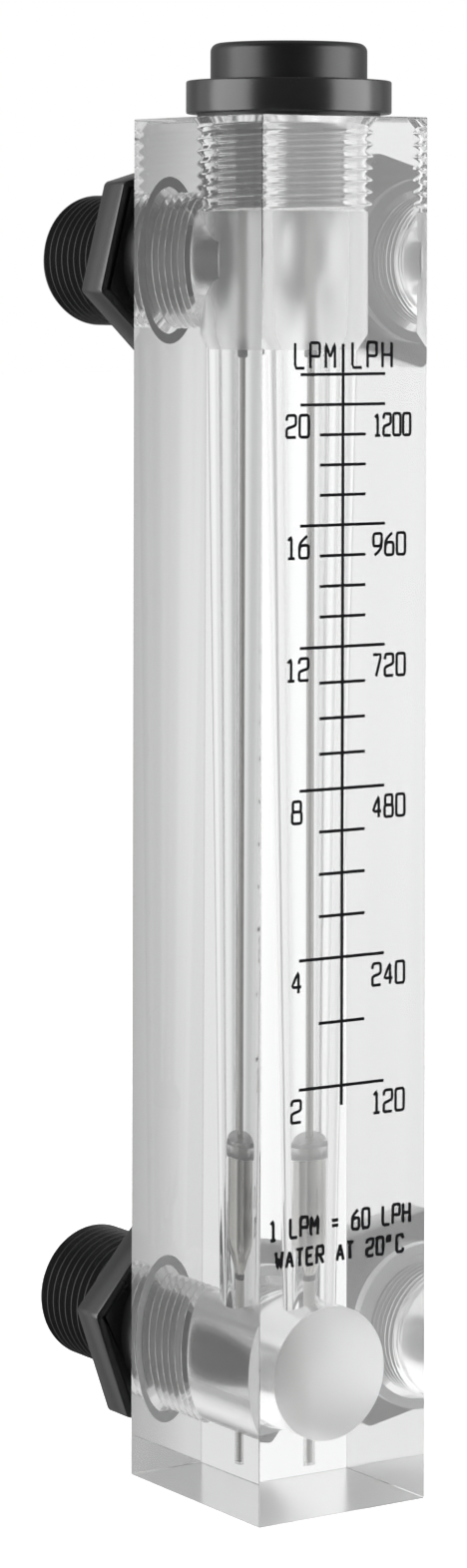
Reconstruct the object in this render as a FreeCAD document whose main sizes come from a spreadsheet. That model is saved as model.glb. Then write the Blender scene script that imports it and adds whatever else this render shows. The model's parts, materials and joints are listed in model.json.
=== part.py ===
"""Acrylic block rotameter: a clear body with a tapered bore, a float on a guide rod and two nipples.

The origin is on the block's bottom face, on the axis of the tapered bore. +Z points up along that axis,
-Y points out of the face that carries the scale, and the nipples leave the opposite face along +Y.
"""
import FreeCAD, Part
import Sketcher
import os

SIZES = {
    # clear block
    "block_width": 30.0,
    "block_depth": 35.4,
    "block_height": 208.0,
    "block_edge": 0.3,
    "bore_setback": 15.2,           # bore axis behind the scale face
    "tube_top_diameter": 15.8,
    "tube_bottom_diameter": 9.0,
    "chamber_diameter": 19.2,
    "chamber_depth": 32.7,
    "chamber_cone": 2.3,
    "top_thread_depth": 14.2,
    # G 1/2 pipe thread, shared by the plug, the nipples and the block
    "thread_diameter": 20.955,
    "thread_clearance": 0.2,
    "thread_lead_in": 0.9,
    "thread_pitch": 1.814,
    "thread_depth": 1.162,
    "thread_root_width": 0.25,
    "thread_flank_angle": 27.5,
    "thread_run_out": 1.4,
    "port_diameter": 20.0,
    "port_thread_depth": 12.5,
    "inlet_height": 20.0,
    "outlet_below_top": 21.6,
    "inlet_port_depth": 29.2,
    # top plug and the flat seal under its flange
    "flange_diameter": 31.2,
    "flange_thickness": 5.0,
    "boss_diameter": 23.8,
    "boss_height": 5.7,
    "boss_rounding": 1.3,
    "shank_length": 14.0,
    "shank_neck_diameter": 18.8,
    "shank_neck_length": 2.2,
    "seal_thickness": 0.57,
    "seal_diameter": 27.8,
    # nipples and their gaskets
    "gasket_thickness": 1.5,
    "collar_diameter": 25.8,
    "collar_length": 5.2,
    "hex_across_flats": 30.3,
    "hex_thickness": 5.9,
    "hose_thread_length": 23.1,
    "stub_length": 10.5,
    "waterway_diameter": 14.0,
    "inlet_twist": 10.5,            # each hexagon stops at its own angle when it is screwed home
    "outlet_twist": -16.0,
    # guide rod and the stops on it
    "rod_diameter": 2.0,
    "rod_clearance": 0.05,
    "rod_foot_height": 5.5,
    "rod_hole_spare": 0.3,
    "rod_socket_depth": 8.0,
    "rod_tip": 0.3,
    "stop_sleeve_diameter": 2.9,
    "bumper_diameter": 3.4,
    "bumper_length": 2.3,
    "upper_stop_drop": 4.7,         # below the chamber's floor
    "lower_sleeve_diameter": 3.1,
    "lower_bumper_length": 0.8,
    # float
    "float_rest_height": 33.5,
    "float_diameter": 8.5,
    "float_body_length": 18.0,
    "float_nose_length": 4.8,
    "float_nose_diameter": 3.0,
    "float_nose_rounding": 5.0,
    "float_neck_diameter": 5.2,
    "float_neck_length": 2.0,
    "float_head_diameter": 9.5,
    "float_head_height": 2.9,
    "float_head_rounding": 1.2,
    "float_clearance": 0.1,
    # printed scale
    "ink_thickness": 0.1,
    "line_width": 0.45,
    "spine_offset": 0.45,            # the spine stands left of the face's middle
    "header_line_height": 169.5,
    "long_mark_length": 15.3,
    "short_mark_length": 8.2,
    "scale_top": 174.0,
    "scale_foot": 60.8,
    "mark_full_flow": 165.0,
    "mark_flow_16": 147.1,
    "mark_flow_12": 129.0,
    "mark_flow_8": 107.9,
    "mark_flow_4": 82.8,
    "mark_flow_2": 63.7,
}

DOC = FreeCAD.newDocument("rotameter")
SHEET = DOC.addObject("Spreadsheet::Sheet", "Sizes")
for row, (alias, value) in enumerate(SIZES.items(), start=1):
    SHEET.set(f"A{row}", alias)
    SHEET.set(f"B{row}", str(value))
    SHEET.setAlias(f"B{row}", alias)
DOC.recompute()

# Heights and radii that several pieces share, written once in terms of the sheet
BLOCK_BACK = "(Sizes.block_depth - Sizes.bore_setback)"
BLOCK_FRONT = "(-Sizes.bore_setback)"
THREAD_RADIUS = "(Sizes.thread_diameter / 2)"
SCREWED_RADIUS = "(Sizes.thread_diameter / 2 - Sizes.thread_clearance)"
PORT_RADIUS = "(Sizes.port_diameter / 2)"
CHAMBER_FLOOR = "(Sizes.block_height - Sizes.chamber_depth)"
SHANK_END = "(Sizes.block_height - Sizes.shank_length)"
FLANGE_FOOT = "(Sizes.block_height + Sizes.seal_thickness)"
FLANGE_TOP = f"({FLANGE_FOOT} + Sizes.flange_thickness)"
SEAL_INNER_RADIUS = "(Sizes.thread_diameter / 2 + Sizes.thread_clearance)"
LEAD_IN_MOUTH = "(Sizes.thread_diameter / 2 + Sizes.thread_lead_in)"
ROD_RADIUS = "(Sizes.rod_diameter / 2)"
ON_ROD_RADIUS = "(Sizes.rod_diameter / 2 + Sizes.rod_clearance)"
ROD_TOP = f"({SHANK_END} + Sizes.rod_socket_depth - Sizes.rod_hole_spare)"
OUTLET_HEIGHT = "(Sizes.block_height - Sizes.outlet_below_top)"
UPPER_STOP_HEIGHT = f"({CHAMBER_FLOOR} - Sizes.upper_stop_drop)"
UPPER_SLEEVE_FOOT = f"({UPPER_STOP_HEIGHT} + Sizes.bumper_length)"
LOWER_BUMPER_FOOT = "(Sizes.float_rest_height - Sizes.lower_bumper_length)"
# the lower sleeve stands in the round floor of the inlet port
LOWER_SLEEVE_FOOT = ("(Sizes.inlet_height + Sizes.rod_clearance"
                     f" - sqrt({PORT_RADIUS} ^ 2 - (Sizes.lower_sleeve_diameter / 2) ^ 2))")
FLOAT_SHOULDER = "(Sizes.float_rest_height + Sizes.float_body_length)"
FLOAT_BORE_RADIUS = "(Sizes.rod_diameter / 2 + Sizes.float_clearance)"


def new_body(label):
    body = DOC.addObject("PartDesign::Body", label)
    body.Label = label
    return body


def attach(feature, body, plane_role):
    plane = next(item for item in body.Origin.OriginFeatures if item.Role == plane_role)
    feature.AttachmentSupport = [(plane, "")]
    feature.MapMode = "FlatFace"


def add_sketch(body, name, plane_role):
    sketch = body.newObject("Sketcher::SketchObject", name)
    attach(sketch, body, plane_role)
    return sketch


def draw_outline(sketch, corners):
    """A closed outline of straight edges; each corner is a pair of expressions, held by two dimensions."""
    points = [FreeCAD.Vector(float(sketch.evalExpression(across)), float(sketch.evalExpression(up)), 0)
              for across, up in corners]
    for here, following in zip(points, points[1:] + points[:1]):
        sketch.addGeometry(Part.LineSegment(here, following))
    for index in range(len(points)):
        sketch.addConstraint(Sketcher.Constraint("Coincident", index, 2, (index + 1) % len(points), 1))
    for index, (across, up) in enumerate(corners):
        for kind, axis, expression, value in (("DistanceX", -2, across, points[index].x),
                                              ("DistanceY", -1, up, points[index].y)):
            if expression == "0":
                sketch.addConstraint(Sketcher.Constraint("PointOnObject", index, 1, axis))
                continue
            number = sketch.addConstraint(Sketcher.Constraint(kind, -1, 1, index, 1, value))
            sketch.setExpression(f"Constraints[{number}]", expression)


def turn(body, name, corners):
    """Material turned about Z; corners are (radius, height)."""
    sketch = add_sketch(body, name + "_outline", "XZ_Plane")
    draw_outline(sketch, corners)
    feature = body.newObject("PartDesign::Revolution", name)
    feature.Profile = sketch
    feature.ReferenceAxis = (sketch, ["V_Axis"])
    feature.Angle = 360
    return feature


def bore_out(body, name, corners):
    """Material cut away about Z; corners are (radius, height)."""
    sketch = add_sketch(body, name + "_outline", "XZ_Plane")
    draw_outline(sketch, corners)
    return cut_round(body, name, sketch, "V_Axis")


def cut_round(body, name, sketch, axis):
    DOC.recompute()
    before = body.Shape.Volume
    feature = body.newObject("PartDesign::Groove", name)
    feature.Profile = sketch
    feature.ReferenceAxis = (sketch, [axis])
    feature.Angle = 360
    DOC.recompute()
    if body.Shape.Volume >= before:
        raise RuntimeError(f"{name} cut nothing")
    return feature


def ring_edge(feature, radius, height):
    """The name of the circular edge with this radius at this height on a turned feature."""
    DOC.recompute()
    for number, edge in enumerate(feature.Shape.Edges, start=1):
        if not isinstance(edge.Curve, Part.Circle):
            continue
        if abs(edge.Curve.Radius - radius) < 1e-4 and abs(edge.Curve.Center.z - height) < 1e-4:
            return f"Edge{number}"
    raise RuntimeError(f"{feature.Label} has no round edge at {radius}, {height}")


def round_off(body, name, feature, radius, height, rounding):
    """A fillet on one turned edge; radius, height and rounding are expressions."""
    edge = ring_edge(feature, float(body.evalExpression(radius)), float(body.evalExpression(height)))
    fillet = body.newObject("PartDesign::Fillet", name)
    fillet.Base = (feature, [edge])
    fillet.setExpression("Radius", rounding)
    return fillet


def sleeve(label, inner, outer, foot, top):
    """A plain tube about Z, from expressions."""
    body = new_body(label)
    turn(body, label + "_turned", [(inner, foot), (outer, foot), (outer, top), (inner, top)])
    return body


def make_block():
    body = new_body("body_block")
    sketch = add_sketch(body, "block_section", "XY_Plane")
    draw_outline(sketch, [("-Sizes.block_width / 2", BLOCK_FRONT), ("Sizes.block_width / 2", BLOCK_FRONT),
                          ("Sizes.block_width / 2", BLOCK_BACK), ("-Sizes.block_width / 2", BLOCK_BACK)])
    blank = body.newObject("PartDesign::Pad", "block_blank")
    blank.Profile = sketch
    blank.setExpression("Length", "Sizes.block_height")
    DOC.recompute()
    edges = body.newObject("PartDesign::Chamfer", "polished_edges")
    edges.Base = (blank, [f"Edge{number}" for number in range(1, len(blank.Shape.Edges) + 1)])
    edges.setExpression("Size", "Sizes.block_edge")
    bore_out(body, "tapered_bore", [
        ("0", "Sizes.rod_foot_height - Sizes.rod_hole_spare"),
        (ON_ROD_RADIUS, "Sizes.rod_foot_height - Sizes.rod_hole_spare"),
        (ON_ROD_RADIUS, "Sizes.inlet_height"),
        ("Sizes.tube_bottom_diameter / 2", "Sizes.inlet_height"),
        ("Sizes.tube_bottom_diameter / 2", f"Sizes.inlet_height + {PORT_RADIUS}"),
        ("Sizes.tube_top_diameter / 2", f"{CHAMBER_FLOOR} - Sizes.chamber_cone"),
        ("Sizes.chamber_diameter / 2", CHAMBER_FLOOR),
        ("Sizes.chamber_diameter / 2", "Sizes.block_height - Sizes.top_thread_depth"),
        (THREAD_RADIUS, "Sizes.block_height - Sizes.top_thread_depth"),
        (THREAD_RADIUS, "Sizes.block_height - Sizes.thread_lead_in"), (LEAD_IN_MOUTH, "Sizes.block_height"),
        ("0", "Sizes.block_height")])
    port_thread_end = f"{BLOCK_BACK} - Sizes.port_thread_depth"
    for name, height, end in (("inlet_port", "Sizes.inlet_height", f"{BLOCK_BACK} - Sizes.inlet_port_depth"),
                              ("outlet_port", OUTLET_HEIGHT, "0")):
        sketch = add_sketch(body, name + "_outline", "YZ_Plane")
        sketch.setExpression("AttachmentOffset.Base.y", height)
        draw_outline(sketch, [
            (BLOCK_BACK, "0"), (BLOCK_BACK, LEAD_IN_MOUTH),
            (f"{BLOCK_BACK} - Sizes.thread_lead_in", THREAD_RADIUS), (port_thread_end, THREAD_RADIUS),
            (port_thread_end, PORT_RADIUS), (end, PORT_RADIUS), (end, "0")])
        cut_round(body, name, sketch, "H_Axis")
    return body


def make_plug():
    body = new_body("top_plug")
    boss_radius = "Sizes.boss_diameter / 2"
    boss_top = f"{FLANGE_TOP} + Sizes.boss_height"
    neck_end = "Sizes.block_height - Sizes.shank_neck_length"
    socket_top = f"{SHANK_END} + Sizes.rod_socket_depth"
    turned = turn(body, "plug_turned", [
        ("0", socket_top), (ON_ROD_RADIUS, socket_top), (ON_ROD_RADIUS, SHANK_END),
        (f"{SCREWED_RADIUS} - Sizes.thread_lead_in", SHANK_END),
        (SCREWED_RADIUS, f"{SHANK_END} + Sizes.thread_lead_in"), (SCREWED_RADIUS, neck_end),
        ("Sizes.shank_neck_diameter / 2", neck_end), ("Sizes.shank_neck_diameter / 2", FLANGE_FOOT),
        ("Sizes.flange_diameter / 2", FLANGE_FOOT), ("Sizes.flange_diameter / 2", FLANGE_TOP),
        (boss_radius, FLANGE_TOP), (boss_radius, boss_top), ("0", boss_top)])
    round_off(body, "boss_rounding", turned, boss_radius, boss_top, "Sizes.boss_rounding")
    return body


def screw_home(body, height, twist):
    """Lay a nipple or gasket along +Y at its port; its own Z = 0 is the block's back face."""
    lying = FreeCAD.Rotation(FreeCAD.Vector(1, 0, 0), -90)
    turned = FreeCAD.Rotation(FreeCAD.Vector(0, 0, 1), twist)
    body.Placement = FreeCAD.Placement(FreeCAD.Vector(), lying.multiply(turned))
    body.setExpression("Placement.Base.y", BLOCK_BACK)
    body.setExpression("Placement.Base.z", height)


def cut_thread_rings(body, label, foot):
    """The hose thread above foot, drawn as one ring groove for each pitch."""
    root_radius = f"{THREAD_RADIUS} - Sizes.thread_depth"
    root_start = f"{foot} + Sizes.thread_run_out + Sizes.thread_depth * tan(Sizes.thread_flank_angle)"
    root_end = f"{root_start} + Sizes.thread_root_width"
    groove = bore_out(body, label + "_thread_groove", [
        (THREAD_RADIUS, f"{foot} + Sizes.thread_run_out"), (root_radius, root_start), (root_radius, root_end),
        (THREAD_RADIUS, f"{root_end} + Sizes.thread_depth * tan(Sizes.thread_flank_angle)")])
    threaded = "(Sizes.hose_thread_length - Sizes.thread_run_out - Sizes.thread_lead_in)"
    thread = body.newObject("PartDesign::LinearPattern", label + "_thread")
    thread.Originals = [groove]
    thread.Direction = (groove.Profile[0], ["V_Axis"])
    thread.setExpression("Occurrences", f"floor({threaded} / Sizes.thread_pitch)")
    thread.setExpression("Length", f"(floor({threaded} / Sizes.thread_pitch) - 1) * Sizes.thread_pitch")
    body.Tip = thread
    return thread


def make_nipple(label, height, twist):
    body = new_body(label)
    collar_foot = "Sizes.gasket_thickness"
    hex_foot = f"({collar_foot} + Sizes.collar_length)"
    hex_top = f"({hex_foot} + Sizes.hex_thickness)"
    mouth = f"({hex_top} + Sizes.hose_thread_length)"
    stub_end = f"({collar_foot} - Sizes.stub_length)"
    lead_in_radius = f"{SCREWED_RADIUS} - Sizes.thread_lead_in"
    collar_radius = "Sizes.collar_diameter / 2"
    turn(body, label + "_turned", [
        ("0", stub_end), (lead_in_radius, stub_end), (SCREWED_RADIUS, f"{stub_end} + Sizes.thread_lead_in"),
        (SCREWED_RADIUS, collar_foot), (collar_radius, collar_foot), (collar_radius, hex_foot),
        (THREAD_RADIUS, hex_foot), (THREAD_RADIUS, f"{mouth} - Sizes.thread_lead_in"),
        (f"{THREAD_RADIUS} - Sizes.thread_lead_in", mouth), ("0", mouth)])
    hexagon = body.newObject("PartDesign::AdditivePrism", label + "_hexagon")
    attach(hexagon, body, "XY_Plane")
    hexagon.Polygon = 6
    hexagon.setExpression("Circumradius", "Sizes.hex_across_flats / 2 / cos(30 deg)")
    hexagon.setExpression("Height", "Sizes.hex_thickness")
    hexagon.setExpression("AttachmentOffset.Base.z", hex_foot)
    cut_thread_rings(body, label, hex_top)
    waterway = "Sizes.waterway_diameter / 2"
    bore_out(body, label + "_waterway",
             [("0", stub_end), (waterway, stub_end), (waterway, mouth), ("0", mouth)])
    screw_home(body, height, twist)
    return body


def make_gasket(label, height):
    body = sleeve(label, SEAL_INNER_RADIUS, "Sizes.collar_diameter / 2", "0", "Sizes.gasket_thickness")
    screw_home(body, height, 0)
    return body


def make_guide_rod():
    body = new_body("guide_rod")
    tip_radius = f"{ROD_RADIUS} - Sizes.rod_tip"
    turn(body, "rod_turned", [
        ("0", "Sizes.rod_foot_height"), (tip_radius, "Sizes.rod_foot_height"),
        (ROD_RADIUS, "Sizes.rod_foot_height + Sizes.rod_tip"), (ROD_RADIUS, f"{ROD_TOP} - Sizes.rod_tip"),
        (tip_radius, ROD_TOP), ("0", ROD_TOP)])
    return body


def make_float_body():
    body = new_body("float_body")
    radius = "Sizes.float_diameter / 2"
    nose_top = "Sizes.float_rest_height + Sizes.float_nose_length"
    neck_radius = "Sizes.float_neck_diameter / 2"
    neck_top = f"{FLOAT_SHOULDER} + Sizes.float_neck_length"
    turned = turn(body, "float_turned", [
        (FLOAT_BORE_RADIUS, "Sizes.float_rest_height"),
        ("Sizes.float_nose_diameter / 2", "Sizes.float_rest_height"), (radius, nose_top),
        (radius, FLOAT_SHOULDER), (neck_radius, FLOAT_SHOULDER), (neck_radius, neck_top),
        (FLOAT_BORE_RADIUS, neck_top)])
    round_off(body, "nose_rounding", turned, radius, nose_top, "Sizes.float_nose_rounding")
    return body


def make_float_head():
    body = new_body("float_head")
    radius = "Sizes.float_head_diameter / 2"
    neck_radius = "Sizes.float_neck_diameter / 2 + Sizes.rod_clearance"
    neck_top = f"{FLOAT_SHOULDER} + Sizes.float_neck_length + Sizes.rod_clearance"
    top = f"{FLOAT_SHOULDER} + Sizes.float_head_height"
    turned = turn(body, "head_turned", [
        (neck_radius, FLOAT_SHOULDER), (radius, FLOAT_SHOULDER), (radius, top), (FLOAT_BORE_RADIUS, top),
        (FLOAT_BORE_RADIUS, neck_top), (neck_radius, neck_top)])
    round_off(body, "head_rounding", turned, radius, top, "Sizes.float_head_rounding")
    return body


def ink_bar(name, length, height):
    """One level mark centred on the scale's spine; length and height are expressions."""
    bar = DOC.addObject("Part::Box", name)
    bar.setExpression("Length", length)
    bar.setExpression("Width", "Sizes.ink_thickness")
    bar.setExpression("Height", "Sizes.line_width")
    bar.setExpression("Placement.Base.x", f"-({length}) / 2 - Sizes.spine_offset")
    bar.setExpression("Placement.Base.y", f"{BLOCK_FRONT} - Sizes.ink_thickness")
    bar.setExpression("Placement.Base.z", f"{height} - Sizes.line_width / 2")
    return bar


def make_scale():
    """The printed ladder: a spine, long marks at the numbered flows and short marks that divide the steps."""
    spine = ink_bar("spine", "Sizes.line_width", "Sizes.scale_foot")
    spine.setExpression("Height", "Sizes.scale_top - Sizes.scale_foot")
    spine.setExpression("Placement.Base.z", "Sizes.scale_foot")
    bars = [spine, ink_bar("header_line", "Sizes.long_mark_length", "Sizes.header_line_height")]
    numbered = ["mark_full_flow", "mark_flow_16", "mark_flow_12", "mark_flow_8", "mark_flow_4", "mark_flow_2"]
    for mark in numbered:
        bars.append(ink_bar(mark, "Sizes.long_mark_length", f"Sizes.{mark}"))
    for upper, lower in zip(numbered, numbered[1:]):
        parts = 2 if lower == "mark_flow_2" else 4
        for part in range(1, parts):
            height = f"(Sizes.{upper} + (Sizes.{lower} - Sizes.{upper}) * {part} / {parts})"
            bars.append(ink_bar(f"{lower}_above_{part}", "Sizes.short_mark_length", height))
    ladder = DOC.addObject("Part::MultiFuse", "scale_marks")
    ladder.Label = "scale_marks"
    ladder.Shapes = bars
    return ladder


def check_document():
    for item in DOC.Objects:
        if "Invalid" in item.State or "Error" in item.State:
            raise RuntimeError(f"{item.Label} failed: {item.State}")


def write_pieces(pieces):
    for piece in pieces:
        if piece.Shape.isNull() or not piece.Shape.isValid():
            raise RuntimeError(f"{piece.Label} has no valid shape")
    os.makedirs("parts", exist_ok=True)
    for piece in pieces:
        piece.Shape.exportStep(f"parts/{piece.Label}.step")
        print(piece.Label, len(piece.Shape.Solids), round(piece.Shape.Volume, 1))


PIECES = [
    make_block(),
    make_plug(),
    sleeve("plug_seal", SEAL_INNER_RADIUS, "Sizes.seal_diameter / 2", "Sizes.block_height", FLANGE_FOOT),
    make_nipple("inlet_nipple", "Sizes.inlet_height", SHEET.inlet_twist),
    make_gasket("inlet_gasket", "Sizes.inlet_height"),
    make_nipple("outlet_nipple", OUTLET_HEIGHT, SHEET.outlet_twist),
    make_gasket("outlet_gasket", OUTLET_HEIGHT),
    make_guide_rod(),
    sleeve("upper_stop_sleeve", ON_ROD_RADIUS, "Sizes.stop_sleeve_diameter / 2", UPPER_SLEEVE_FOOT,
           SHANK_END),
    sleeve("upper_bumper", ON_ROD_RADIUS, "Sizes.bumper_diameter / 2", UPPER_STOP_HEIGHT,
           UPPER_SLEEVE_FOOT),
    sleeve("lower_stop_sleeve", ON_ROD_RADIUS, "Sizes.lower_sleeve_diameter / 2", LOWER_SLEEVE_FOOT,
           LOWER_BUMPER_FOOT),
    sleeve("lower_bumper", ON_ROD_RADIUS, "Sizes.lower_sleeve_diameter / 2", LOWER_BUMPER_FOOT,
           "Sizes.float_rest_height"),
    make_float_body(),
    make_float_head(),
    make_scale(),
]
DOC.recompute()
check_document()
write_pieces(PIECES)
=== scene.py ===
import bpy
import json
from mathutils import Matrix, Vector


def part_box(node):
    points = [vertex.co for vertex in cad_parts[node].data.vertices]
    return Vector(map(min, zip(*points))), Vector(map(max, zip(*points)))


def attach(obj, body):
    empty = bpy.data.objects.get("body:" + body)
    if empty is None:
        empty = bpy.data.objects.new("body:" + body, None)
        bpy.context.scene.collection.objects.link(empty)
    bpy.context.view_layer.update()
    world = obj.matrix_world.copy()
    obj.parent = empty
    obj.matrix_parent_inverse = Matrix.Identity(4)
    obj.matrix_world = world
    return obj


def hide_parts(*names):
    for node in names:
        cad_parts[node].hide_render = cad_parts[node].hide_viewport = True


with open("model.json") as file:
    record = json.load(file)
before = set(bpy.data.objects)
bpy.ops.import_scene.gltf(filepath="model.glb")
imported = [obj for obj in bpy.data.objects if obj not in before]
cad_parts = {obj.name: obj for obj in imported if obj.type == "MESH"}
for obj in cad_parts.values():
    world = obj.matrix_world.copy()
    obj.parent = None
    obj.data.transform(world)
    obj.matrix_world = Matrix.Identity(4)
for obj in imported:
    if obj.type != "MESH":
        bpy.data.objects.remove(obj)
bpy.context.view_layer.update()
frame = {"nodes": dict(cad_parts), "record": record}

import json
import math
import bpy
import bmesh
from mathutils import Matrix, Vector

print("frame loaded:", len(frame["nodes"]), "nodes")

mm = 0.001             # shapes are drawn in millimetres and scaled once, when a piece is finished
up = Vector((0, 0, 1))
alongPort = Matrix.Rotation(-math.pi / 2, 4, "X")      # lays an upright shape along the ports, towards +Y
overlap = 0.5          # how far joined solids run into each other


def spanOf(node):
    low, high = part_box(node)
    return low / mm, high / mm


blockLow, blockHigh = spanOf("body_block")
plugTop = spanOf("top_plug")[1].z
sealTop = spanOf("plug_seal")[1].z
gasketLow, gasketHigh = spanOf("inlet_gasket")
rodLow, rodHigh = spanOf("guide_rod")
mounts = {mount["name"]: mount for mount in frame["record"]["mounts"]}
inletHeight = mounts["inlet_thread"]["pos_m"][2] / mm
outletHeight = mounts["outlet_thread"]["pos_m"][2] / mm

halfInch = dict(pitch=1.814, major=10.4775, minor=9.3155, rounding=0.2486, flank=62.5)
rodThread = dict(pitch=0.4, major=1.0, minor=0.78, rounding=0.05, flank=58.0)
roundSteps = dict(bore=128, body=96, rod=32)           # steps in a full turn


# shapes

def drawOutline(points, closed):
    shape = bmesh.new()
    verts = [shape.verts.new((across, 0, height)) for across, height in points]
    pairs = list(zip(verts, verts[1:]))
    if closed:
        pairs.append((verts[-1], verts[0]))
    edges = [shape.edges.new(pair) for pair in pairs]
    return shape, verts + edges


def turned(points, steps=roundSteps["body"]):
    onAxis = min(across for across, height in points) < 1e-6
    shape, geom = drawOutline(points, closed=not onAxis)
    bmesh.ops.spin(shape, geom=geom, cent=(0, 0, 0), axis=up, dvec=(0, 0, 0), angle=math.tau, steps=steps,
                   use_merge=True, use_duplicate=False)
    bmesh.ops.remove_doubles(shape, verts=shape.verts, dist=1e-4)
    bmesh.ops.recalc_face_normals(shape, faces=shape.faces)
    return shape


def rounded(centre, radius, start, end, steps=4):
    arc = []
    for step in range(steps + 1):
        angle = math.radians(start + (end - start) * step / steps)
        arc.append((centre[0] + radius * math.cos(angle), centre[1] + radius * math.sin(angle)))
    return arc


def screw(form, foot, top, clearance=0.0, steps=roundSteps["body"]):
    pitch, tip = form["pitch"], form["rounding"]
    crestPlace = form["major"] - clearance - tip
    rootPlace = form["minor"] - clearance + tip
    arc = [math.radians(share * form["flank"]) for share in (-1, -0.35, 0.35, 1)]
    points = []
    for turn in range(math.floor(foot / pitch) - 2, math.ceil(top / pitch) + 1):
        root, crest = turn * pitch, (turn + 0.5) * pitch
        points += [(rootPlace - tip * math.cos(angle), root + tip * math.sin(angle)) for angle in arc]
        points += [(crestPlace + tip * math.cos(angle), crest + tip * math.sin(angle)) for angle in arc]
    shape, geom = drawOutline(points, closed=False)
    bmesh.ops.spin(shape, geom=geom, cent=(0, 0, 0), axis=up, dvec=(0, 0, pitch / steps), angle=math.tau,
                   steps=steps, use_merge=False, use_duplicate=False)
    # the last step meets the first one, a pitch further up
    bmesh.ops.remove_doubles(shape, verts=shape.verts, dist=0.01)
    for height, outward in ((foot, -up), (top, up)):
        geom = shape.verts[:] + shape.edges[:] + shape.faces[:]
        bmesh.ops.bisect_plane(shape, geom=geom, dist=1e-6, plane_co=(0, 0, height), plane_no=outward,
                               clear_outer=True)
    bmesh.ops.holes_fill(shape, edges=[edge for edge in shape.edges if edge.is_boundary], sides=0)
    bmesh.ops.recalc_face_normals(shape, faces=shape.faces)
    return shape


def placed(shape, matrix):
    bmesh.ops.transform(shape, matrix=matrix, verts=shape.verts)
    return shape


def bevelled(shape, edges, width, segments):
    bmesh.ops.bevel(shape, geom=edges, offset=width, offset_type="OFFSET", affect="EDGES",
                    segments=segments, profile=0.5, material=-1)


def temporary(shape, name):
    mesh = bpy.data.meshes.new(name)
    shape.to_mesh(mesh)
    shape.free()
    holder = bpy.data.objects.new(name, mesh)
    bpy.context.scene.collection.objects.link(holder)
    return holder


def combined(base, tools, operation):
    baseHolder = temporary(base, "workpiece")
    toolHolders = [temporary(tool, "tool") for tool in tools]
    for holder in toolHolders:
        step = baseHolder.modifiers.new(operation, "BOOLEAN")
        step.object = holder
        step.operation = operation
        step.solver = "MANIFOLD"
    result = bmesh.new()
    result.from_object(baseHolder, bpy.context.evaluated_depsgraph_get())
    for holder in [baseHolder] + toolHolders:
        mesh = holder.data
        bpy.data.objects.remove(holder)
        bpy.data.meshes.remove(mesh)
    bmesh.ops.remove_doubles(result, verts=result.verts, dist=1e-4)
    return result


def addPiece(name, shape, body, finishes, nodes, sharpAngle=40):
    bmesh.ops.scale(shape, vec=(mm, mm, mm), verts=shape.verts)
    mesh = bpy.data.meshes.new(name)
    shape.to_mesh(mesh)
    shape.free()
    for finish in finishes:
        mesh.materials.append(finish)
    mesh.shade_smooth()
    mesh.set_sharp_from_angle(angle=math.radians(sharpAngle))
    piece = bpy.data.objects.new(name, mesh)
    bpy.context.scene.collection.objects.link(piece)
    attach(piece, body)
    if nodes:
        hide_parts(*nodes)
    print(name, len(mesh.polygons), "faces")
    return piece


# shader groups and materials

def newGroup(name, inputs, outputs):
    group = bpy.data.node_groups.new(name, "ShaderNodeTree")
    for label, kind, value in inputs:
        socket = group.interface.new_socket(name=label, in_out="INPUT", socket_type=kind)
        socket.default_value = value
    for label, kind in outputs:
        group.interface.new_socket(name=label, in_out="OUTPUT", socket_type=kind)
    return group, group.nodes.new("NodeGroupInput"), group.nodes.new("NodeGroupOutput")


def fill(tree, socket, value):
    if isinstance(value, bpy.types.NodeSocket):
        tree.links.new(value, socket)
    else:
        socket.default_value = value


def addMath(tree, operation, *operands):
    step = tree.nodes.new("ShaderNodeMath")
    step.operation = operation
    for socket, operand in zip(step.inputs, operands):
        fill(tree, socket, operand)
    return step.outputs[0]


def addVectorMath(tree, operation, *operands):
    step = tree.nodes.new("ShaderNodeVectorMath")
    step.operation = operation
    for socket, operand in zip(step.inputs, operands):
        fill(tree, socket, operand)
    return step.outputs["Value" if operation == "DOT_PRODUCT" else "Vector"]


def addMix(tree, blend, factor, first, second):
    step = tree.nodes.new("ShaderNodeMix")
    step.data_type = "RGBA"
    step.blend_type = blend
    fill(tree, step.inputs["Factor"], factor)
    fill(tree, step.inputs["A"], first)
    fill(tree, step.inputs["B"], second)
    return step.outputs["Result"]


def addRamp(tree, source, stops):
    ramp = tree.nodes.new("ShaderNodeValToRGB")
    tree.links.new(source, ramp.inputs["Fac"])
    elements = ramp.color_ramp.elements
    for place, level in stops[1:-1]:
        elements.new(place)
    for element, (place, level) in zip(elements, stops):
        element.position = place
        element.color = (level, level, level, 1)
    return ramp.outputs["Color"]


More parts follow.
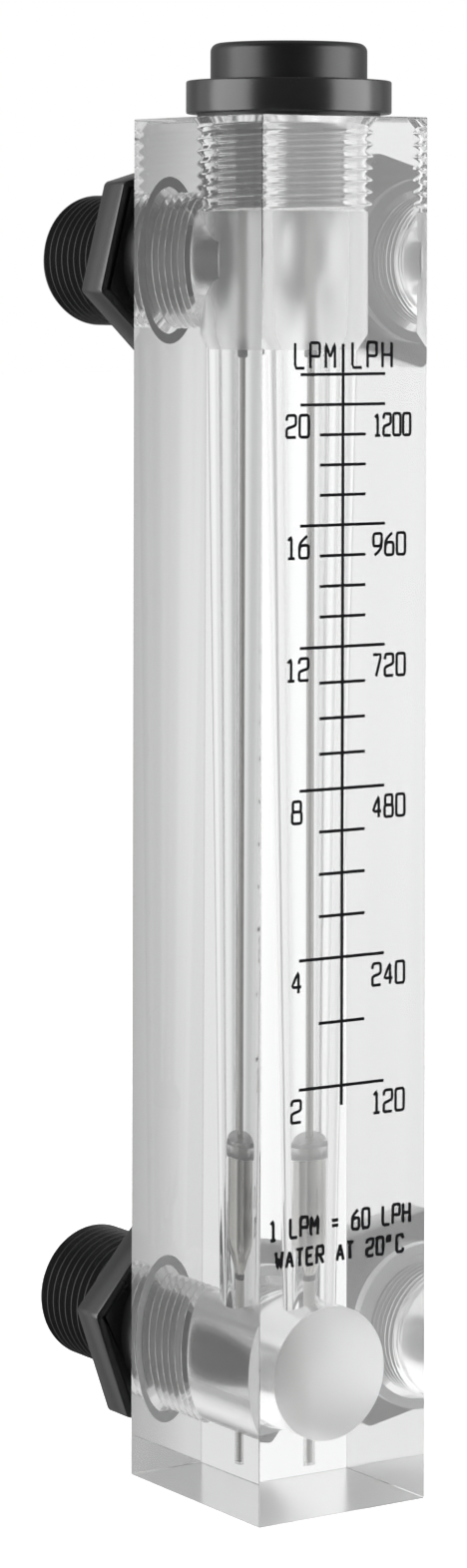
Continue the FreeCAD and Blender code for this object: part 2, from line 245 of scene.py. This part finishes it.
def moulding():
    group, given, out = newGroup(
        "moulding",
        [("Colour", "NodeSocketColor", (0.02, 0.02, 0.02, 1)), ("Roughness", "NodeSocketFloat", 0.35),
         ("Grain", "NodeSocketFloat", 2500.0), ("Depth", "NodeSocketFloat", 0.1),
         ("Unevenness", "NodeSocketFloat", 0.3)],
        [("Colour", "NodeSocketColor"), ("Roughness", "NodeSocketFloat"), ("Normal", "NodeSocketVector")])
    nodes, links = group.nodes, group.links
    place = nodes.new("ShaderNodeTexCoord")
    cloud = nodes.new("ShaderNodeTexNoise")             # broad patches, a few millimetres wide
    cloud.inputs["Scale"].default_value = 180
    cloud.inputs["Detail"].default_value = 4
    fine = nodes.new("ShaderNodeTexNoise")              # the grain of the surface
    fine.inputs["Detail"].default_value = 3
    links.new(place.outputs["Object"], cloud.inputs["Vector"])
    links.new(place.outputs["Object"], fine.inputs["Vector"])
    links.new(given.outputs["Grain"], fine.inputs["Scale"])
    shift = addMath(group, "SUBTRACT", cloud.outputs["Fac"], 0.5)
    amount = addMath(group, "MULTIPLY", shift, given.outputs["Unevenness"])
    plain = given.outputs["Roughness"]
    links.new(addMath(group, "MULTIPLY_ADD", amount, plain, plain), out.inputs["Roughness"])
    tint = nodes.new("ShaderNodeHueSaturation")
    links.new(addMath(group, "ADD", amount, 1.0), tint.inputs["Value"])
    links.new(given.outputs["Colour"], tint.inputs["Color"])
    links.new(tint.outputs["Color"], out.inputs["Colour"])
    bump = nodes.new("ShaderNodeBump")
    bump.inputs["Distance"].default_value = 0.00002
    links.new(given.outputs["Depth"], bump.inputs["Strength"])
    links.new(fine.outputs["Fac"], bump.inputs["Height"])
    links.new(bump.outputs["Normal"], out.inputs["Normal"])
    return group


mouldingGroup = moulding()


def newMaterial(name):
    material = bpy.data.materials.new(name)
    material.use_nodes = True
    tree = material.node_tree
    return material, tree.nodes, tree.links, tree.nodes["Principled BSDF"]


def solidFinish(name, colour, roughness, grain=2500.0, depth=0.1, unevenness=0.3, metallic=0.0, ior=1.5):
    material, nodes, links, shader = newMaterial(name)
    effect = nodes.new("ShaderNodeGroup")
    effect.node_tree = mouldingGroup
    values = dict(Colour=(*colour, 1), Roughness=roughness, Grain=grain, Depth=depth, Unevenness=unevenness)
    for label, value in values.items():
        effect.inputs[label].default_value = value
    for label, socket in (("Colour", "Base Color"), ("Roughness", "Roughness"), ("Normal", "Normal")):
        links.new(effect.outputs[label], shader.inputs[socket])
    shader.inputs["Metallic"].default_value = metallic
    shader.inputs["IOR"].default_value = ior
    return material


def clearFinish(name, colour, roughness, ior=1.49, waviness=0.02, clarity=1.0, glow=0.0):
    material, nodes, links, shader = newMaterial(name)
    effect = nodes.new("ShaderNodeGroup")
    effect.node_tree = mouldingGroup
    effect.inputs["Grain"].default_value = 60
    effect.inputs["Depth"].default_value = waviness
    links.new(effect.outputs["Normal"], shader.inputs["Normal"])
    shader.inputs["Base Color"].default_value = (*colour, 1)
    shader.inputs["Roughness"].default_value = roughness
    shader.inputs["Transmission Weight"].default_value = clarity
    shader.inputs["IOR"].default_value = ior
    shader.inputs["Emission Color"].default_value = (1, 1, 1, 1)
    shader.inputs["Emission Strength"].default_value = glow     # painted glow: the face itself emits light that stands in for light sent up by a pale table
    return material


blockFinishes = dict(
    polished=clearFinish("clearAcrylic", (0.985, 0.99, 0.99), 0.0),
    milled=clearFinish("milledAcrylic", (0.97, 0.97, 0.97), 0.6),
    port=clearFinish("boredAcrylic", (0.97, 0.97, 0.97), 0.24),
    tapped=clearFinish("tappedAcrylic", (0.97, 0.97, 0.97), 0.08, clarity=0.97),
    chamber=clearFinish("chamberAcrylic", (0.97, 0.97, 0.97), 0.42, clarity=0.92),
    tube=clearFinish("reamedAcrylic", (0.985, 0.99, 0.99), 0.09, waviness=0.003),
    sawn=clearFinish("sawnAcrylic", (0.98, 0.98, 0.98), 0.3, clarity=0.6),
    # the foot face gets a painted glow, emission standing in for light from the pale table below
    foot=clearFinish("footAcrylicPaintedGlow", (0.98, 0.98, 0.98), 0.24, clarity=0.8, glow=0.09))
finishNames = list(blockFinishes)
blackPlastic = solidFinish("blackPlastic", (0.008, 0.008, 0.0085), 0.26, depth=0.12)
greyRubber = solidFinish("greyRubber", (0.16, 0.16, 0.165), 0.6, grain=4000, depth=0.3)
paleRubber = solidFinish("paleRubber", (0.6, 0.6, 0.61), 0.6, grain=4000, depth=0.3)
# threads inside the block: black plastic painted a lighter grey, painted light standing in for the light
# that brightens them through the acrylic
paintedLightThread = solidFinish("paintedLightThread", (0.13, 0.13, 0.13), 0.3, depth=0.2)
mattPlastic = solidFinish("mattPlastic", (0.004, 0.004, 0.0045), 0.36, depth=0.12, ior=1.42)
darkRubber = solidFinish("darkRubber", (0.03, 0.03, 0.03), 0.5, grain=4000, depth=0.3)
rodSteel = solidFinish("rodSteel", (0.46, 0.45, 0.43), 0.25, metallic=1.0)
floatSteel = solidFinish("floatSteel", (0.49, 0.48, 0.455), 0.17, metallic=1.0)
sleevePlastic = solidFinish("sleevePlastic", (0.55, 0.54, 0.52), 0.4)
stopRubber = solidFinish("stopRubber", (0.14, 0.14, 0.14), 0.5, grain=4000, depth=0.3)
frostedRing = clearFinish("frostedRing", (0.84, 0.84, 0.83), 0.3, ior=1.35, clarity=0.82)
blackInk = solidFinish("blackInk", (0.006, 0.006, 0.007), 0.9, depth=0.2, ior=1.15)
print("materials made")


# the clear block, with its bores and tapped ports

block = dict(edge=0.12, threadFoot=193.8, chamberRadius=9.6, chamberFloor=175.3, coneFloor=173.0,
             tubeTop=7.9, tubeFoot=4.5, tubeFootHeight=29.9, tubeStart=2.0, portRadius=10.0, tapRadius=9.2,
             tapEnd=0.02, threadEnd=7.7, inletEnd=-9.0, outletEnd=0.0, mouth=11.38)
rodHole = dict(radius=1.05, foot=5.2, drop=5.0, threadDepth=0.2, coreDepth=0.12)


def makeBlock():
    size = blockHigh - blockLow
    shape = bmesh.new()
    bmesh.ops.create_cube(shape, size=1.0)
    placed(shape, Matrix.Translation((blockLow + blockHigh) / 2) @ Matrix.Diagonal(size).to_4x4())
    bevelled(shape, shape.edges[:], block["edge"], 1)
    top, back = blockHigh.z, blockHigh.y
    tap, mouth, fine = block["tapRadius"], block["mouth"], roundSteps["bore"]
    lead = mouth - tap
    slope = (block["tubeTop"] - block["tubeFoot"]) / (block["coneFloor"] - block["tubeFootHeight"])
    start = inletHeight + block["tubeStart"]
    chamber, tapFoot = block["chamberRadius"], block["threadFoot"] + block["tapEnd"]
    bore = turned([(0, start), (block["tubeFoot"] + slope * (start - block["tubeFootHeight"]), start),
                   (block["tubeTop"], block["coneFloor"]), (chamber, block["chamberFloor"]),
                   (chamber, tapFoot), (tap, tapFoot), (tap, top - lead), (mouth + 1, top + 1),
                   (0, top + 1)], fine)
    cutters = [bore, screw(halfInch, block["threadFoot"], top + 1, steps=fine)]
    wide, tapStart = block["portRadius"], block["threadEnd"] - block["tapEnd"]
    for height, end in ((inletHeight, block["inletEnd"]), (outletHeight, block["outletEnd"])):
        matrix = Matrix.Translation((0, 0, height)) @ alongPort
        port = turned([(0, end), (wide, end), (wide, tapStart), (tap, tapStart), (tap, back - lead),
                       (mouth + 1, back + 1), (0, back + 1)], fine)
        cutters.append(placed(port, matrix))
        cutters.append(placed(screw(halfInch, block["threadEnd"], back + 1, steps=fine), matrix))
    radius, foot, holeTop = rodHole["radius"], rodHole["foot"], inletHeight - rodHole["drop"]
    holeForm = dict(rodThread, major=radius, minor=radius - rodHole["threadDepth"])
    cutters.append(screw(holeForm, foot, holeTop, steps=roundSteps["rod"]))
    core = radius - rodHole["coreDepth"]
    cutters.append(turned([(0, foot), (core, foot), (core, holeTop), (0, holeTop)], roundSteps["rod"]))
    shape = combined(shape, cutters, "DIFFERENCE")
    for face in shape.faces:
        face.material_index = finishNames.index(blockFinish(face))
    return shape


def blockFinish(face):
    centre = face.calc_center_median()
    if abs(centre.y - block["inletEnd"]) < 1e-3 and abs(face.normal.y) > 0.99:
        return "milled"
    depth = min(min(centre[axis] - blockLow[axis], blockHigh[axis] - centre[axis]) for axis in range(3))
    if depth < block["edge"] * 1.01:
        if abs(face.normal.z) < 0.99:
            return "polished"
        return "sawn" if face.normal.z > 0 else "foot"
    offAxis = math.hypot(centre.x, centre.y)
    if block["coneFloor"] - 0.5 < centre.z < block["threadFoot"] and offAxis < block["chamberRadius"] + 0.1:
        return "chamber"
    if centre.z > block["threadFoot"] or centre.y > block["threadEnd"]:
        return "tapped"
    inTube = abs(face.normal.z) < 0.1 and block["tubeFootHeight"] < centre.z < block["coneFloor"]
    return "tube" if inTube else "port"


addPiece("clear_block", makeBlock(), "meter_body",
         [blockFinishes[name] for name in finishNames], ["body_block"])


# the screwed plug

plug = dict(clearance=0.08, shankFoot=194.0, threadTop=205.8, neck=9.4, flange=15.6, flangeTop=213.57,
            boss=11.9, bossRounding=1.3, edge=0.3, leadIn=0.9, join=0.4, socket=1.05, socketTop=202.0)
plugFinishes = [blackPlastic, mattPlastic, paintedLightThread]        # flange, boss and shank


def threadedEnd(foot, top, radius, clearance, bevelFoot, bevelTop):
    body = screw(halfInch, foot - 1, top + 1, clearance)
    lead, wide = plug["leadIn"], radius + 1
    outline = [(0, foot)]
    outline += [(radius - lead, foot), (wide, foot + lead + 1)] if bevelFoot else [(wide, foot)]
    outline += [(wide, top - lead - 1), (radius - lead, top)] if bevelTop else [(wide, top)]
    outline.append((0, top))
    return combined(body, [turned(outline)], "INTERSECT")


def makePlug():
    radius = halfInch["major"] - plug["clearance"]
    shankTop = plug["threadTop"] + plug["join"]
    shank = threadedEnd(plug["shankFoot"], shankTop, radius, plug["clearance"], True, False)
    flangeFoot, top = sealTop, plugTop
    edge, boss, turn = plug["edge"], plug["boss"], plug["bossRounding"]
    neckFoot = plug["threadTop"] - overlap
    outline = [(0, neckFoot), (plug["neck"], neckFoot), (plug["neck"], flangeFoot)]
    outline += rounded((plug["flange"] - edge, flangeFoot + edge), edge, -90, 0, 3)
    outline += rounded((plug["flange"] - edge, plug["flangeTop"] - edge), edge, 0, 90, 3)
    outline += rounded((boss + edge, plug["flangeTop"] + edge), edge, -90, -180, 3)
    outline += rounded((boss - turn, top - turn), turn, 0, 90, 8)
    outline.append((0, top))
    shape = combined(shank, [turned(outline, roundSteps["bore"])], "UNION")
    socket = turned([(0, plug["shankFoot"] - 1), (plug["socket"], plug["shankFoot"] - 1),
                     (plug["socket"], plug["socketTop"]), (0, plug["socketTop"])], roundSteps["rod"])
    shape = combined(shape, [socket], "DIFFERENCE")
    for face in shape.faces:
        height = face.calc_center_median().z
        if height > plug["flangeTop"] + 0.1:
            face.material_index = 1
        # the shank inside the block takes the painted lighter grey
        elif height < plug["threadTop"] + overlap:
            face.material_index = 2
    return shape


addPiece("threaded_plug", makePlug(), "meter_body", plugFinishes, ["top_plug"])


# the two hose nipples

nipple = dict(stubStart=11.2, collar=12.9, collarStart=21.7, hexStart=26.9, hexEnd=32.8, acrossFlats=30.3,
              padInset=1.0, padRise=0.15, padHeight=0.4, edge=0.3, cornerRound=0.5, waterway=7.0,
              waterwayBevel=0.4, hoseEnd=55.9, twists=dict(inlet=10.5, outlet=-16.0))


def makeNut(twist):
    nut = bmesh.new()
    radius = nipple["acrossFlats"] / 2 / math.cos(math.pi / 6)
    bmesh.ops.create_cone(nut, cap_ends=True, segments=6, radius1=radius, radius2=radius,
                          depth=nipple["hexEnd"] - nipple["hexStart"])
    corners = [line for line in nut.edges if abs(line.verts[0].co.z - line.verts[1].co.z) > 1]
    bevelled(nut, corners, nipple["cornerRound"], 3)
    rims = [line for line in nut.edges if abs(line.verts[0].co.z - line.verts[1].co.z) < 1e-4]
    bevelled(nut, rims, nipple["edge"], 2)
    ends = [face for face in nut.faces if len(face.verts) > 4]
    pad = [min(ends, key=lambda face: face.calc_center_median().z)]         # the face towards the block
    bmesh.ops.inset_region(nut, faces=pad, thickness=nipple["padInset"], depth=0)
    bmesh.ops.inset_region(nut, faces=pad, thickness=nipple["padRise"], depth=nipple["padHeight"])
    middle = (nipple["hexStart"] + nipple["hexEnd"]) / 2
    turn = Matrix.Rotation(math.radians(twist - 30), 4, "Z")
    return placed(nut, Matrix.Translation((0, 0, middle)) @ turn)


def makeNipple(height, twist):
    clearance, edge, major = plug["clearance"], nipple["edge"], halfInch["major"]
    stub = threadedEnd(nipple["stubStart"], nipple["collarStart"] + overlap, major - clearance, clearance,
                       True, False)
    hose = threadedEnd(nipple["hexEnd"] - overlap, nipple["hoseEnd"], major, 0.0, False, True)
    collar = turned([(0, nipple["collarStart"])]
                    + rounded((nipple["collar"] - edge, nipple["collarStart"] + edge), edge, -90, 0, 3)
                    + [(nipple["collar"], nipple["hexStart"] + overlap), (0, nipple["hexStart"] + overlap)])
    start, end = nipple["stubStart"], nipple["hoseEnd"]
    radius, bevel = nipple["waterway"], nipple["waterwayBevel"]
    bore = turned([(0, start - 1), (radius + 1, start - 1), (radius, start + bevel), (radius, end - bevel),
                   (radius + 1, end + 1), (0, end + 1)])
    shape = combined(makeNut(twist), [collar, stub, hose], "UNION")
    shape = combined(shape, [bore], "DIFFERENCE")
    for face in shape.faces:
        place = face.calc_center_median()
        # the stub inside the block takes the painted lighter grey
        if place.z < nipple["collarStart"] and math.hypot(place.x, place.y) > radius + 0.6:
            face.material_index = 1
    return placed(shape, Matrix.Translation((0, 0, height)) @ alongPort)


for side, height in (("inlet", inletHeight), ("outlet", outletHeight)):
    addPiece(side + "_fitting", makeNipple(height, nipple["twists"][side]), "meter_body",
             [blackPlastic, paintedLightThread], [side + "_nipple"])


# flat washers pressed against the block

washer = dict(inner=10.56, pressed=0.03)


def makeWasher(height):
    start, end = gasketLow.y - washer["pressed"], gasketHigh.y
    outer = (gasketHigh.x - gasketLow.x) / 2
    shape = turned([(washer["inner"], start), (outer, start), (outer, end), (washer["inner"], end)])
    return placed(shape, Matrix.Translation((0, 0, height)) @ alongPort)


for side, height, rubber in (("inlet", inletHeight, paleRubber), ("outlet", outletHeight, greyRubber)):
    addPiece(side + "_washer", makeWasher(height), "meter_body", [rubber],
             [side + "_gasket"])


# guide rod with its threaded foot

rod = dict(radius=1.0, threadLength=8.0, join=0.2, tip=0.3, steps=48)


def makeRod():
    threadTop = rodLow.z + rod["threadLength"]
    foot = screw(rodThread, rodLow.z, threadTop + rod["join"], steps=roundSteps["rod"])
    radius, tip, top = rod["radius"], rod["tip"], rodHigh.z
    shank = turned([(0, threadTop), (radius, threadTop), (radius, top - tip), (radius - tip, top),
                    (0, top)], rod["steps"])
    return combined(shank, [foot], "UNION")


addPiece("float_rod", makeRod(), "meter_body", [rodSteel], ["guide_rod"])


# the ring on the float's neck, whose flat top is read against the scale

ring = dict(height=2.35, bevel=0.5, neck=2.66, hole=1.11, inside=2.06)


def makeRing():
    low, high = spanOf("float_head")
    radius, bevel = (high.x - low.x) / 2, ring["bevel"]
    top, inside = low.z + ring["height"], low.z + ring["inside"]
    return turned([(ring["neck"], low.z), (radius, low.z), (radius, top - bevel), (radius - bevel, top),
                   (ring["hole"], top), (ring["hole"], inside), (ring["neck"], inside)])


addPiece("float_ring", makeRing(), "float", [frostedRing], ["float_head"], sharpAngle=30)


# printed figures and words, drawn as single strokes

strokes = {
    "0": [("ring", [(.5, 0), (1, 0), (1, .3), (1, .7), (1, 1), (.5, 1), (0, 1), (0, .7), (0, .3), (0, 0)])],
    "1": [("line", [(.2, .82), (.55, 1), (.55, 0)]), ("line", [(.2, 0), (.9, 0)])],
    "2": [("bend", [(0, .76), (0, 1), (.5, 1), (1, 1), (1, .76), (1, .54), (.5, .47), (0, .4), (0, .2),
                    (0, 0)]),
          ("line", [(0, 0), (1, 0)])],
    "4": [("line", [(.72, 0), (.72, 1), (0, .28), (1, .28)])],
    "6": [("bend", [(.85, 1), (.4, .85), (0, .62), (0, .3), (0, 0), (.5, 0), (1, 0), (1, .3), (1, .58),
                    (.5, .58), (.1, .58), (0, .32)])],
    "7": [("line", [(0, 1), (1, 1), (.35, 0)])],
    "8": [("ring", [(.5, .53), (.93, .53), (.93, .77), (.93, 1), (.5, 1), (.07, 1), (.07, .77),
                    (.07, .53)]),
          ("ring", [(.5, 0), (1, 0), (1, .27), (1, .53), (.5, .53), (0, .53), (0, .27), (0, 0)])],
    "9": [("bend", [(.15, 0), (.6, .15), (1, .38), (1, .7), (1, 1), (.5, 1), (0, 1), (0, .7), (0, .42),
                    (.5, .42), (.9, .42), (1, .68)])],
    "L": [("line", [(0, 1), (0, 0), (1, 0)])],
    "P": [("line", [(0, 0), (0, 1)]),
          ("bend", [(0, 1), (.7, 1), (1, 1), (1, .73), (1, .46), (.7, .46), (0, .46)])],
    "M": [("line", [(0, 0), (0, 1), (.5, .4), (1, 1), (1, 0)])],
    "H": [("line", [(0, 0), (0, 1)]), ("line", [(1, 0), (1, 1)]), ("line", [(0, .5), (1, .5)])],
    "=": [("line", [(.05, .62), (.95, .62)]), ("line", [(.05, .34), (.95, .34)])],
    "W": [("line", [(0, 1), (.22, 0), (.5, .62), (.78, 0), (1, 1)])],
    "A": [("line", [(0, 0), (.5, 1), (1, 0)]), ("line", [(.18, .35), (.82, .35)])],
    "T": [("line", [(0, 1), (1, 1)]), ("line", [(.5, 1), (.5, 0)])],
    "E": [("line", [(1, 1), (0, 1), (0, 0), (1, 0)]), ("line", [(0, .52), (.8, .52)])],
    "R": [("line", [(0, 0), (0, 1)]),
          ("bend", [(0, 1), (.7, 1), (1, 1), (1, .75), (1, .5), (.7, .5), (0, .5)]),
          ("line", [(.45, .5), (1, 0)])],
    "C": [("bend", [(1, .78), (1, 1), (.5, 1), (0, 1), (0, .5), (0, 0), (.5, 0), (1, 0), (1, .22)])],
    "°": [("ring", [(.3, .72), (.55, .72), (.55, .86), (.55, 1), (.3, 1), (.05, 1), (.05, .86),
                    (.05, .72)])],
    " ": [],
}

lettering = dict(stroke=0.46, bold=0.5, ink=0.09, clearance=0.004, figureHeight=3.25, figureDrop=1.5,
                 leftColumn=-8.6, rightColumn=5.15, headerHeight=3.75, headerFoot=170.45)
# the width of a glyph and the gap after it
spacings = dict(left=(1.65, 0.68), right=(1.5, 0.65), rightLong=(1.3, 0.5), header=(1.65, 1.1))


def writeLine(curve, text, left, foot, height, glyph, gap):
    cursor = left
    for letter in text:
        for kind, points in strokes[letter]:
            spline = curve.splines.new("NURBS")
            spline.points.add(len(points) - 1)
            for point, (across, rise) in zip(spline.points, points):
                point.co = (cursor + across * glyph, foot + rise * height, 0, 1)
            spline.use_cyclic_u = kind == "ring"
            spline.use_endpoint_u = kind != "ring"
            spline.order_u = 2 if kind == "line" else 3
        cursor += glyph + gap


def lineWidth(text, glyph, gap):
    return len(text) * glyph + (len(text) - 1) * gap


def makePrint(lines, stroke):
    curve = bpy.data.curves.new("writing", "CURVE")
    curve.dimensions = "3D"
    curve.resolution_u = 4
    curve.bevel_depth = stroke / 2
    curve.bevel_resolution = 2
    curve.use_fill_caps = True
    for text, left, foot, height, glyph, gap in lines:
        writeLine(curve, text, left, foot, height, glyph, gap)
    holder = bpy.data.objects.new("writing", curve)
    bpy.context.scene.collection.objects.link(holder)
    mesh = bpy.data.meshes.new_from_object(holder.evaluated_get(bpy.context.evaluated_depsgraph_get()))
    shape = bmesh.new()
    shape.from_mesh(mesh)
    bpy.data.objects.remove(holder)
    bpy.data.curves.remove(curve)
    bpy.data.meshes.remove(mesh)
    flat = lettering["ink"] / stroke
    face = blockLow.y - lettering["ink"] / 2 - lettering["clearance"]
    toFace = Matrix.Translation((0, face, 0)) @ Matrix.Rotation(math.pi / 2, 4, "X")
    return placed(shape, toFace @ Matrix.Diagonal((1, 1, flat, 1)))


scaleRows = ((165.0, "20", "1200"), (147.1, "16", "960"), (129.0, "12", "720"), (107.9, "8", "480"),
             (82.8, "4", "240"), (63.7, "2", "120"))        # height of the mark, and its two figures
figureLines = []
for height, small, large in scaleRows:
    tall = lettering["figureHeight"]
    foot = height - lettering["figureDrop"] - tall
    left = lettering["leftColumn"] - lineWidth(small, *spacings["left"]) / 2
    figureLines.append((small, left, foot, tall, *spacings["left"]))
    spacing = spacings["rightLong" if len(large) > 3 else "right"]
    figureLines.append((large, lettering["rightColumn"], foot, tall, *spacing))
for unit, left in (("LPM", -9.1), ("LPH", 1.25)):
    foot, tall = lettering["headerFoot"], lettering["headerHeight"]
    figureLines.append((unit, left, foot, tall, *spacings["header"]))
wordLines = [("1 LPM = 60 LPH", -13.3, 42.0, 2.85, 1.22, 0.64),
             ("WATER AT 20°C", -12.1, 37.7, 2.5, 1.15, 0.67)]
addPiece("scale_figures", makePrint(figureLines, lettering["stroke"]), "meter_body",
         [blackInk], [])
addPiece("scale_words", makePrint(wordLines, lettering["bold"]), "meter_body", [blackInk], [])
print("printing made")


# CAD nodes that keep their shape

nodeFinishes = dict(plug_seal=darkRubber, upper_stop_sleeve=sleevePlastic, upper_bumper=stopRubber,
                    lower_stop_sleeve=sleevePlastic, lower_bumper=darkRubber, scale_marks=blackInk,
                    float_body=floatSteel)
for name, finish in nodeFinishes.items():
    for slot in frame["nodes"][name].material_slots:
        slot.material = finish


# studio

view = dict(lens=104.04, sideStep=4.2, drop=22.3, distance=666.2, heading=33.47, roll=0.138,
            frameShift=-0.331)
# each softbox's angle to the right of the camera, its width and height, and its radiance
softboxes = (("leftSoftbox", -70.5, 0.87, 1.3, 5.6), ("rightSoftbox", 76, 0.86, 1.3, 5.8))
aim = dict(height=105, distance=0.9, rise=0.1)
floorForm = dict(size=6, drop=0.0001, paleness=0.8, glow=0.75)

# Light levels by direction. Angles are degrees to the right of straight ahead. A rise of 0.5 is level, and
# a facing of 1 is straight ahead.
studio = dict(
    seen=((-180, 0.06), (-152, 0.16), (-134, 0.85), (-120, 0.68), (-100, 0.6), (-74, 0.61), (-64, 0.66),
          (-45, 0.84), (-20, 0.87), (0, 0.82), (15, 0.78), (30, 0.54), (45, 0.5), (65, 0.6), (100, 0.6),
          (120, 0.4), (145, 0.3), (180, 0.12)),
    seenByRise=((0.0, 1.2), (0.32, 1.0), (0.38, 0.88), (0.42, 0.94), (0.45, 1.0), (0.53, 0.97), (0.62, 0.8),
                (0.75, 0.65)),
    sideFacing=(0.29, 0.31),
    side=((0.19, 0.38), (0.345, 0.53), (0.485, 0.715), (0.8, 0.72)),            # along sideFacing
    sideByRise=((0.47, 1.0), (0.488, 0.95), (0.503, 0.83), (0.5105, 0.72), (0.52, 0.66)),
    sideShare=((104, 0.0), (109, 1.0), (119, 1.0), (124, 0.0)),
    reflected=((0.15, 0.12), (0.5, 0.3), (0.64, 1.3), (0.73, 1.3), (0.82, 0.4)))     # by facing


def makeCamera():
    heading = math.radians(view["heading"])
    ahead = Vector((math.sin(heading), math.cos(heading), 0))
    right = Vector((ahead.y, -ahead.x, 0))
    corner = Vector((blockLow.x, blockLow.y, blockHigh.z))
    place = corner - ahead * view["distance"] - right * view["sideStep"] - up * view["drop"]
    camera = bpy.data.cameras.new("camera")
    camera.sensor_width = 36
    camera.sensor_fit = "AUTO"
    camera.lens = view["lens"]
    camera.shift_y = view["frameShift"]
    camera.clip_start = 0.01
    holder = bpy.data.objects.new("camera", camera)
    bpy.context.scene.collection.objects.link(holder)
    turn = Matrix((right, up, -ahead)).transposed().to_4x4()
    holder.matrix_world = (Matrix.Translation(place * mm) @ turn
                           @ Matrix.Rotation(math.radians(view["roll"]), 4, "Z"))
    bpy.context.scene.camera = holder
    return ahead, right


ahead, right = makeCamera()
middle = Vector((0, 0, aim["height"])) * mm


def makeSoftbox(name, angle, width, height, radiance):
    light = bpy.data.lights.new(name, "AREA")
    light.shape = "RECTANGLE"
    light.size = width
    light.size_y = height
    light.energy = radiance * width * height * math.pi
    holder = bpy.data.objects.new(name, light)
    bpy.context.scene.collection.objects.link(holder)
    turn = math.radians(angle)
    towards = (-ahead * math.cos(turn) + right * math.sin(turn)).normalized()
    holder.location = middle + towards * aim["distance"] + up * aim["rise"]
    holder.rotation_euler = (holder.location - middle - up * aim["rise"]).to_track_quat("Z", "Y").to_euler()
    holder.visible_transmission = False
    holder.visible_camera = False


for softbox in softboxes:
    makeSoftbox(*softbox)


def asShares(stops):
    return [(degrees / 360 + 0.5, level) for degrees, level in stops]


def surroundings():
    group, given, out = newGroup("surroundings", [("Direction", "NodeSocketVector", (0, 0, 0))],
                                 [("Seen", "NodeSocketColor"), ("Reflected", "NodeSocketColor")])
    direction = given.outputs["Direction"]
    level = addVectorMath(group, "NORMALIZE", addVectorMath(group, "MULTIPLY", direction, (1, 1, 0)))
    forward = addVectorMath(group, "DOT_PRODUCT", level, ahead)
    sideways = addVectorMath(group, "DOT_PRODUCT", level, right)
    facing = addMath(group, "MULTIPLY_ADD", forward, 0.5, 0.5)
    angle = addMath(group, "ARCTAN2", sideways, forward)
    turn = addMath(group, "MULTIPLY_ADD", angle, 0.5 / math.pi, 0.5)
    split = group.nodes.new("ShaderNodeSeparateXYZ")
    group.links.new(direction, split.inputs[0])
    rise = addMath(group, "MULTIPLY_ADD", split.outputs["Z"], 0.5, 0.5)
    closeUp = group.nodes.new("ShaderNodeMapRange")
    for label, value in zip(("From Min", "From Max"), studio["sideFacing"]):
        closeUp.inputs[label].default_value = value
    group.links.new(facing, closeUp.inputs["Value"])
    side = addMix(group, "MULTIPLY", 1.0, addRamp(group, closeUp.outputs["Result"], studio["side"]),
                  addRamp(group, rise, studio["sideByRise"]))
    seen = addMix(group, "MIX", addRamp(group, turn, asShares(studio["sideShare"])),
                  addRamp(group, turn, asShares(studio["seen"])), side)
    seen = addMix(group, "MULTIPLY", 1.0, seen, addRamp(group, rise, studio["seenByRise"]))
    group.links.new(seen, out.inputs["Seen"])
    group.links.new(addRamp(group, facing, studio["reflected"]), out.inputs["Reflected"])
    return group


surroundingsGroup = surroundings()


def makeWorld():
    world = bpy.data.worlds.new("studio")
    bpy.context.scene.world = world
    world.use_nodes = True
    tree = world.node_tree
    backdrop = tree.nodes["Background"]
    place = tree.nodes.new("ShaderNodeTexCoord")
    path = tree.nodes.new("ShaderNodeLightPath")
    around = tree.nodes.new("ShaderNodeGroup")
    around.node_tree = surroundingsGroup
    tree.links.new(place.outputs["Generated"], around.inputs["Direction"])
    light = addMix(tree, "MIX", path.outputs["Is Transmission Ray"], around.outputs["Reflected"],
                   around.outputs["Seen"])
    light = addMix(tree, "MIX", path.outputs["Is Camera Ray"], light, (1, 1, 1, 1))     # a white backdrop
    tree.links.new(light, backdrop.inputs["Color"])
    backdrop.inputs["Strength"].default_value = 1.0


makeWorld()


def makeFloor():
    material, nodes, links, shader = newMaterial("paleFloor")
    pale = floorForm["paleness"]
    shader.inputs["Base Color"].default_value = (pale, pale, pale, 1)
    shader.inputs["Roughness"].default_value = 0.9
    shader.inputs["Emission Color"].default_value = (1, 1, 1, 1)
    path = nodes.new("ShaderNodeLightPath")
    glow = addMath(material.node_tree, "MULTIPLY", path.outputs["Is Camera Ray"], floorForm["glow"])
    links.new(glow, shader.inputs["Emission Strength"])
    shape = bmesh.new()
    bmesh.ops.create_grid(shape, x_segments=2, y_segments=2, size=floorForm["size"])
    mesh = bpy.data.meshes.new("floor")
    shape.to_mesh(mesh)
    shape.free()
    mesh.materials.append(material)
    floor = bpy.data.objects.new("floor", mesh)
    bpy.context.scene.collection.objects.link(floor)
    floor.location.z = -floorForm["drop"]
    floor.visible_glossy = False
    floor.visible_transmission = False


makeFloor()

scene = bpy.context.scene
scene.view_settings.view_transform = "Standard"
scene.cycles.max_bounces = 32
scene.cycles.glossy_bounces = 24
scene.cycles.transmission_bounces = 24
scene.cycles.transparent_max_bounces = 16
print("studio made")
